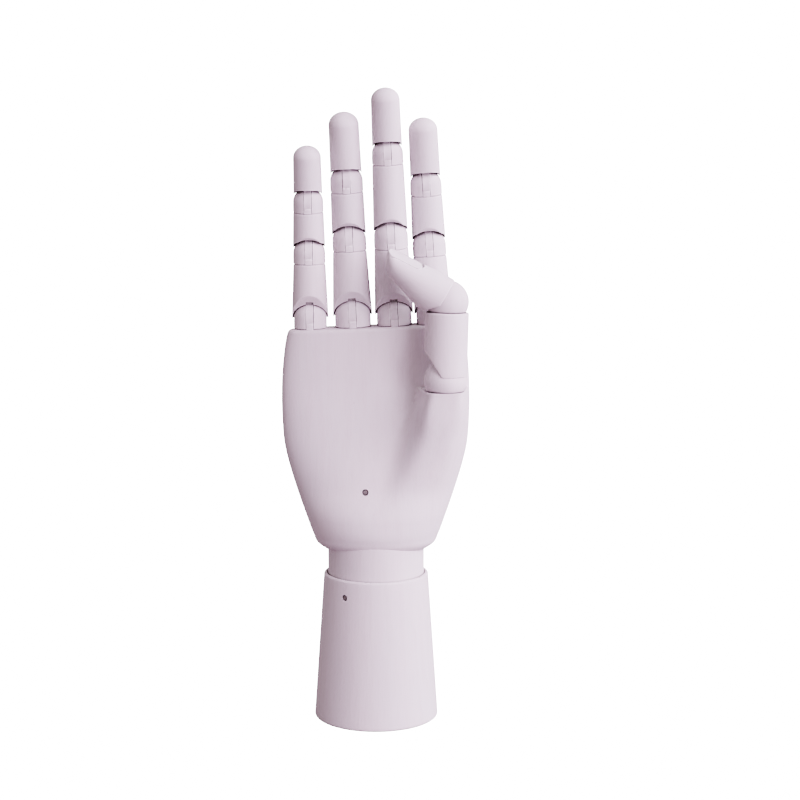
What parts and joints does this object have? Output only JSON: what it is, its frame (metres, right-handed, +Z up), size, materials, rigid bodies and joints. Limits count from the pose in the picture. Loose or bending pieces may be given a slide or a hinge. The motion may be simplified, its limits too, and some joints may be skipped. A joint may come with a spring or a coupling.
{
  "type": "wooden hand mannequin",
  "caption": "Jointed wooden artist's hand on a turned wrist base; the fingers and thumb bend on pinned tongue joints and the wrist turns.",
  "frame": {"origin": "centre of the base's underside", "axes": "+Z up along the hand, -Y out of the palm, +X towards the thumb"},
  "size_m": [0.0906, 0.063, 0.3047],
  "materials": {
    "painted_wood": "matte pale lilac-white paint over turned hardwood",
    "tongue_metal": "matte, painted with the wood",
    "steel": "satin"
  },
  "bodies": {
    "base": {"wrist_base": "painted_wood", "swivel_nail": "steel"},
    "hand": {"wrist_plug": "painted_wood", "palm": "painted_wood", "palm_nail": "steel", "finger_root_pins": "steel", "thumb_knuckle_1": "painted_wood", "thumb_pin_1": "steel", "little_knuckle_1": "painted_wood", "ring_knuckle_1": "painted_wood", "middle_knuckle_1": "painted_wood", "index_knuckle_1": "painted_wood"},
    "little_lower": {"little_tongue_1": "tongue_metal", "little_proximal": "painted_wood", "little_knuckle_2": "painted_wood", "little_pin_2": "steel"},
    "little_mid": {"little_tongue_2": "tongue_metal", "little_middle": "painted_wood", "little_knuckle_3": "painted_wood", "little_pin_3": "steel"},
    "little_end": {"little_tongue_3": "tongue_metal", "little_distal": "painted_wood"},
    "ring_lower": {"ring_tongue_1": "tongue_metal", "ring_proximal": "painted_wood", "ring_knuckle_2": "painted_wood", "ring_pin_2": "steel"},
    "ring_mid": {"ring_tongue_2": "tongue_metal", "ring_middle": "painted_wood", "ring_knuckle_3": "painted_wood", "ring_pin_3": "steel"},
    "ring_end": {"ring_tongue_3": "tongue_metal", "ring_distal": "painted_wood"},
    "middle_lower": {"middle_tongue_1": "tongue_metal", "middle_proximal": "painted_wood", "middle_knuckle_2": "painted_wood", "middle_pin_2": "steel"},
    "middle_mid": {"middle_tongue_2": "tongue_metal", "middle_middle": "painted_wood", "middle_knuckle_3": "painted_wood", "middle_pin_3": "steel"},
    "middle_end": {"middle_tongue_3": "tongue_metal", "middle_distal": "painted_wood"},
    "index_lower": {"index_tongue_1": "tongue_metal", "index_proximal": "painted_wood", "index_knuckle_2": "painted_wood", "index_pin_2": "steel"},
    "index_mid": {"index_tongue_2": "tongue_metal", "index_middle": "painted_wood", "index_knuckle_3": "painted_wood", "index_pin_3": "steel"},
    "index_end": {"index_tongue_3": "tongue_metal", "index_distal": "painted_wood"},
    "thumb_lower": {"thumb_tongue_1": "tongue_metal", "thumb_proximal": "painted_wood", "thumb_knuckle_2": "painted_wood", "thumb_pin_2": "steel"},
    "thumb_end": {"thumb_tongue_2": "tongue_metal", "thumb_distal": "painted_wood"}
  },
  "joints": [
    {"name": "wrist_swivel", "type": "hinge", "parent": "base", "child": "hand", "pos_m": [0, 0, 0.068], "axis": [0, 0, 1], "continuous": true},
    {"name": "little_root", "type": "hinge", "parent": "hand", "child": "little_lower", "pos_m": [-0.03124, 0, 0.19631], "axis": [1, 0, 0.0087], "range_deg": [-2, 72]},
    {"name": "little_mid", "type": "hinge", "parent": "little_lower", "child": "little_mid", "pos_m": [-0.03151, -0.00108, 0.22719], "axis": [1, 0, 0.0087], "range_deg": [-14, 66]},
    {"name": "little_end", "type": "hinge", "parent": "little_mid", "child": "little_end", "pos_m": [-0.03173, -0.0045, 0.25155], "axis": [1, 0, 0.0087], "range_deg": [-8, 60]},
    {"name": "ring_root", "type": "hinge", "parent": "hand", "child": "ring_lower", "pos_m": [-0.01093, 0, 0.19751], "axis": [0.9991, 0, 0.0419], "range_deg": [-1, 72]},
    {"name": "ring_mid", "type": "hinge", "parent": "ring_lower", "child": "ring_mid", "pos_m": [-0.01244, -0.00063, 0.23347], "axis": [0.9991, 0, 0.0419], "range_deg": [-14, 66]},
    {"name": "ring_end", "type": "hinge", "parent": "ring_mid", "child": "ring_end", "pos_m": [-0.01361, -0.00405, 0.26134], "axis": [0.9991, 0, 0.0419], "range_deg": [-9, 60]},
    {"name": "middle_root", "type": "hinge", "parent": "hand", "child": "middle_lower", "pos_m": [0.00887, 0, 0.19811], "axis": [0.9991, 0, 0.0419], "range_deg": [-8, 6]},
    {"name": "middle_mid", "type": "hinge", "parent": "middle_lower", "child": "middle_mid", "pos_m": [0.00732, -0.00523, 0.23531], "axis": [0.9991, 0, 0.0419], "range_deg": [-6, 45]},
    {"name": "middle_end", "type": "hinge", "parent": "middle_mid", "child": "middle_end", "pos_m": [0.00569, -0.00931, 0.27406], "axis": [0.9991, 0, 0.0419], "range_deg": [-9, 60]},
    {"name": "index_root", "type": "hinge", "parent": "hand", "child": "index_lower", "pos_m": [0.02758, 0, 0.19866], "axis": [0.9981, 0, 0.061], "range_deg": [0, 11]},
    {"name": "index_mid", "type": "hinge", "parent": "index_lower", "child": "index_mid", "pos_m": [0.0256, 0, 0.231], "axis": [0.9981, 0, 0.061], "range_deg": [-14, 66]},
    {"name": "index_end", "type": "hinge", "parent": "index_mid", "child": "index_end", "pos_m": [0.02385, -0.00301, 0.25959], "axis": [0.9981, 0, 0.061], "range_deg": [-9, 60]},
    {"name": "thumb_root", "type": "hinge", "parent": "hand", "child": "thumb_lower", "pos_m": [0.0326, -0.0225, 0.1688], "axis": [0, 1, 0], "range_deg": [-36, 14]},
    {"name": "thumb_mid", "type": "hinge", "parent": "thumb_lower", "child": "thumb_end", "pos_m": [0.03358, -0.0225, 0.20609], "axis": [0, 1, 0], "range_deg": [0, 58]}
  ]
}
